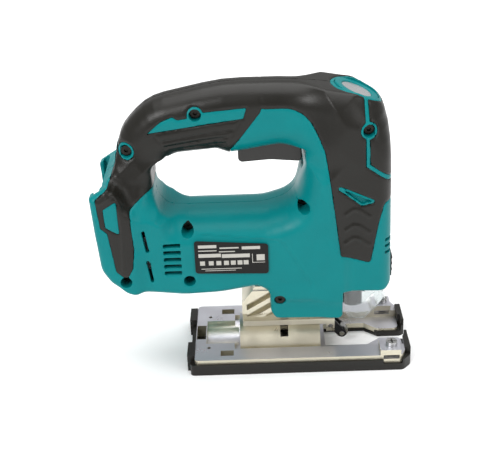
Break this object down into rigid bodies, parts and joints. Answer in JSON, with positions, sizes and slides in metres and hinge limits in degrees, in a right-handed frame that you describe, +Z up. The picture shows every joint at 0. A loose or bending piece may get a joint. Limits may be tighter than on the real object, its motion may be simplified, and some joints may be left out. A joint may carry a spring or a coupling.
{
  "type": "jigsaw power tool",
  "caption": "Cordless jigsaw with a closed top handle, yoke-driven blade ram and guide roller on a tilting metal base.",
  "frame": {"origin": "middle of the tool's box at the level of the sole of the base", "axes": "+X forward to the blade end, +Y to the left side, +Z up from the sole"},
  "size_m": [0.21, 0.076, 0.2],
  "materials": {
    "teal_plastic": "fine texture",
    "soft_grip": "matt, finely textured",
    "black_plastic": "satin",
    "cast_alloy": "bead blasted",
    "bright_steel": "satin",
    "dark_steel": "blackened",
    "bronze": "sintered",
    "felt": "pressed felt",
    "winding": "enamelled wire",
    "potting_case": "sheet",
    "contact": "plated",
    "clear_plastic": "clear",
    "circuit_board": "lacquered",
    "wire_cover": "soft"
  },
  "bodies": {
    "tool_body": {"housing_right": "teal_plastic", "housing_left": "teal_plastic", "grip_right": "soft_grip", "grip_left": "soft_grip", "badge": "teal_plastic", "rating_plate": "black_plastic", "housing_screws": "bright_steel", "gear_housing": "cast_alloy", "gear_housing_cover": "cast_alloy", "gear_housing_screws": "bright_steel", "gear_spindle": "bright_steel", "slide_guides": "bronze", "rod_seal": "felt", "stator_core": "dark_steel", "stator_coils": "winding", "motor_bearings": "bright_steel", "controller": "potting_case", "switch_body": "black_plastic", "trigger_spring": "bright_steel", "terminal_block": "black_plastic", "terminal_blades": "contact", "led_lens": "clear_plastic", "led_board": "circuit_board", "lead_wires": "wire_cover", "base_clamp_bolt": "bright_steel", "clamp_washer": "bright_steel", "opener_pin": "bright_steel", "retainer_pin": "bright_steel"},
    "trigger": {"trigger": "soft_grip"},
    "lock_off": {"lock_off_button": "soft_grip"},
    "dial": {"speed_dial": "soft_grip"},
    "orbit_control": {"orbit_lever": "soft_grip", "orbit_shaft": "bright_steel"},
    "opener": {"tool_opener": "soft_grip"},
    "guard": {"dust_cover": "clear_plastic"},
    "ram": {"slider": "bright_steel", "clamp_holder": "dark_steel"},
    "clamp": {"clamp_sleeve": "dark_steel"},
    "balance": {"balance_plate": "dark_steel"},
    "crank": {"crank_gear": "bright_steel", "crank_pins": "bright_steel"},
    "rotor": {"rotor_shaft": "bright_steel", "rotor_magnets": "dark_steel", "pinion": "bright_steel", "cooling_fan": "black_plastic"},
    "retainer": {"roller_retainer": "dark_steel", "roller_pin": "bright_steel"},
    "roller": {"guide_roller": "bright_steel"},
    "base": {"base_plate": "cast_alloy", "shoe_cover": "black_plastic", "fence_screws": "bright_steel"}
  },
  "joints": [
    {"name": "trigger_pull", "type": "slide", "parent": "tool_body", "child": "trigger", "axis": [0, 0, 1], "range_m": [0, 0.006], "stiffness_N_per_m": 900, "springref_m": -0.003, "deforming": ["trigger_spring"]},
    {"name": "lock_off_press", "type": "slide", "parent": "tool_body", "child": "lock_off", "axis": [0, -1, 0], "range_m": [0, 0.0025], "stiffness_N_per_m": 800, "springref_m": -0.0015},
    {"name": "speed_dial_turn", "type": "hinge", "parent": "tool_body", "child": "dial", "pos_m": [-0.0695, 0.033, 0.104], "axis": [0, 1, 0], "range_deg": [-135, 135]},
    {"name": "orbit_lever_turn", "type": "hinge", "parent": "tool_body", "child": "orbit_control", "pos_m": [0.04, 0.03, 0.05], "axis": [0, 1, 0], "range_deg": [-90, 0]},
    {"name": "opener_swing", "type": "hinge", "parent": "tool_body", "child": "opener", "pos_m": [0.09, 0.015, 0.07], "axis": [0, 0, 1], "range_deg": [0, 100]},
    {"name": "dust_cover_slide", "type": "slide", "parent": "tool_body", "child": "guard", "axis": [0, 0, 1], "range_m": [0, 0.012]},
    {"name": "ram_slide", "type": "slide", "parent": "tool_body", "child": "ram", "axis": [0, 0, 1], "range_m": [-0.013, 0.013]},
    {"name": "clamp_turn", "type": "hinge", "parent": "ram", "child": "clamp", "pos_m": [0.067, 0, 0.042], "axis": [0, 0, 1], "range_deg": [0, 40]},
    {"name": "balance_slide", "type": "slide", "parent": "tool_body", "child": "balance", "axis": [0, 0, 1], "range_m": [-0.013, 0.013]},
    {"name": "crank_spin", "type": "hinge", "parent": "tool_body", "child": "crank", "pos_m": [0.0505, 0, 0.1122], "axis": [1, 0, 0], "continuous": true},
    {"name": "rotor_spin", "type": "hinge", "parent": "tool_body", "child": "rotor", "pos_m": [0, 0, 0.088], "axis": [1, 0, 0], "continuous": true},
    {"name": "retainer_swing", "type": "hinge", "parent": "tool_body", "child": "retainer", "pos_m": [0.0512, 0, 0.0192], "axis": [0, 1, 0], "range_deg": [-3, 3]},
    {"name": "roller_spin", "type": "hinge", "parent": "retainer", "child": "roller", "pos_m": [0.0597, 0, 0.01], "axis": [0, 1, 0], "continuous": true},
    {"name": "base_tilt", "type": "hinge", "parent": "tool_body", "child": "base", "pos_m": [0.015, 0, 0.004], "axis": [1, 0, 0], "range_deg": [-45, 45]}
  ],
  "couplings": [
    {"joint": "balance_slide", "follows": "ram_slide", "ratio": -1},
    {"joint": "rotor_spin", "follows": "crank_spin", "ratio": -5},
    {"joint": "clamp_turn", "follows": "opener_swing", "ratio": 0.4}
  ]
}
